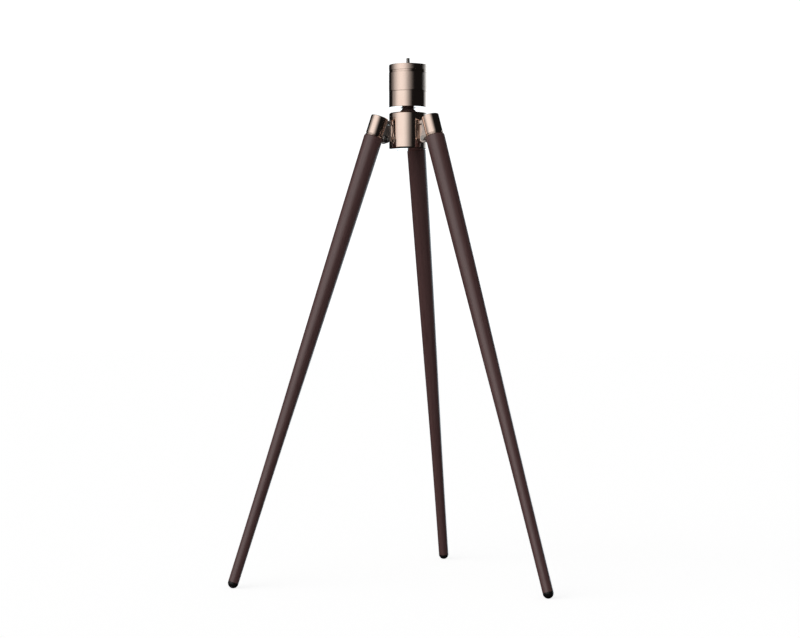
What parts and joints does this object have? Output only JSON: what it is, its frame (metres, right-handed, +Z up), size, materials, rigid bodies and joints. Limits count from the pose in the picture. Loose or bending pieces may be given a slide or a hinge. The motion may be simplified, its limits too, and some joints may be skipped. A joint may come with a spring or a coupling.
{
  "type": "camera tripod",
  "caption": "Wooden camera tripod: turned tapering legs hinged on a round metal hub, under a ring-locked ball head with a round platform and a camera screw.",
  "frame": {"origin": "on the ground, at the middle of the footprint's bounding box; the tripod axis stands 75 mm behind it, at x 0, y -0.075", "axes": "+Z up, +Y towards the rear leg, +X to the right seen from the front; the other legs point to -30 and 210 degrees"},
  "size_m": [0.537, 0.4674, 0.88],
  "materials": {
    "champagne_metal": "mirror polished, warm champagne tint",
    "dark_metal": "blackened, polished",
    "steel": "bright turned steel",
    "wood": "dark red-brown stain under satin lacquer",
    "rubber": "smooth black",
    "pad": "fine grained black",
    "liner": "natural nylon"
  },
  "bodies": {
    "hub": {"hub_body": "champagne_metal", "base_plate": "champagne_metal", "base_screws": "steel", "hinge_screws": "steel", "hinge_nuts": "steel", "centre_bolt": "steel", "centre_washer": "steel"},
    "leg_rear": {"leg_shaft_rear": "wood", "foot_tip_rear": "rubber", "foot_screw_rear": "steel", "leg_ring_rear": "champagne_metal", "leg_cap_rear": "champagne_metal", "hanger_bolt_rear": "steel"},
    "leg_left": {"leg_shaft_left": "wood", "foot_tip_left": "rubber", "foot_screw_left": "steel", "leg_ring_left": "champagne_metal", "leg_cap_left": "champagne_metal", "hanger_bolt_left": "steel"},
    "leg_right": {"leg_shaft_right": "wood", "foot_tip_right": "rubber", "foot_screw_right": "steel", "leg_ring_right": "champagne_metal", "leg_cap_right": "champagne_metal", "hanger_bolt_right": "steel"},
    "ball": {"ball_stem": "dark_metal"},
    "head": {"head_housing": "champagne_metal", "ball_seat": "liner", "bearing_plate": "champagne_metal", "pan_spindle": "steel", "retaining_ring": "steel"},
    "clamp": {"pressure_cup": "steel", "disc_spring": "steel", "thrust_pins": "steel"},
    "lock": {"lock_ring": "champagne_metal"},
    "top": {"platform": "champagne_metal", "platform_pad": "pad", "camera_screw": "steel"}
  },
  "joints": [
    {"name": "leg_rear_fold", "type": "hinge", "parent": "hub", "child": "leg_rear", "pos_m": [0, -0.03383, 0.74253], "axis": [-1, 0, 0], "range_deg": [0, 21]},
    {"name": "leg_left_fold", "type": "hinge", "parent": "hub", "child": "leg_left", "pos_m": [-0.03565, -0.09558, 0.74253], "axis": [0.5, -0.866, 0], "range_deg": [0, 21]},
    {"name": "leg_right_fold", "type": "hinge", "parent": "hub", "child": "leg_right", "pos_m": [0.03565, -0.09558, 0.74253], "axis": [0.5, 0.866, 0], "range_deg": [0, 21]},
    {"name": "ball_swivel", "type": "hinge", "parent": "hub", "child": "ball", "pos_m": [0, -0.075, 0.812], "axis": [0, 0, 1], "continuous": true},
    {"name": "ball_tilt", "type": "hinge", "parent": "ball", "child": "head", "pos_m": [0, -0.075, 0.812], "axis": [1, 0, 0], "range_deg": [-8, 8]},
    {"name": "lock_ring_turn", "type": "hinge", "parent": "head", "child": "lock", "pos_m": [0, -0.075, 0.839], "axis": [0, 0, 1], "range_deg": [0, 60]},
    {"name": "clamp_press", "type": "slide", "parent": "head", "child": "clamp", "axis": [0, 0, -1], "range_m": [0, 0.00025]},
    {"name": "platform_turn", "type": "hinge", "parent": "head", "child": "top", "pos_m": [0, -0.075, 0.863], "axis": [0, 0, 1], "continuous": true}
  ],
  "couplings": [
    {"joint": "clamp_press", "follows": "lock_ring_turn", "m_per_rad": 0.0002387}
  ]
}
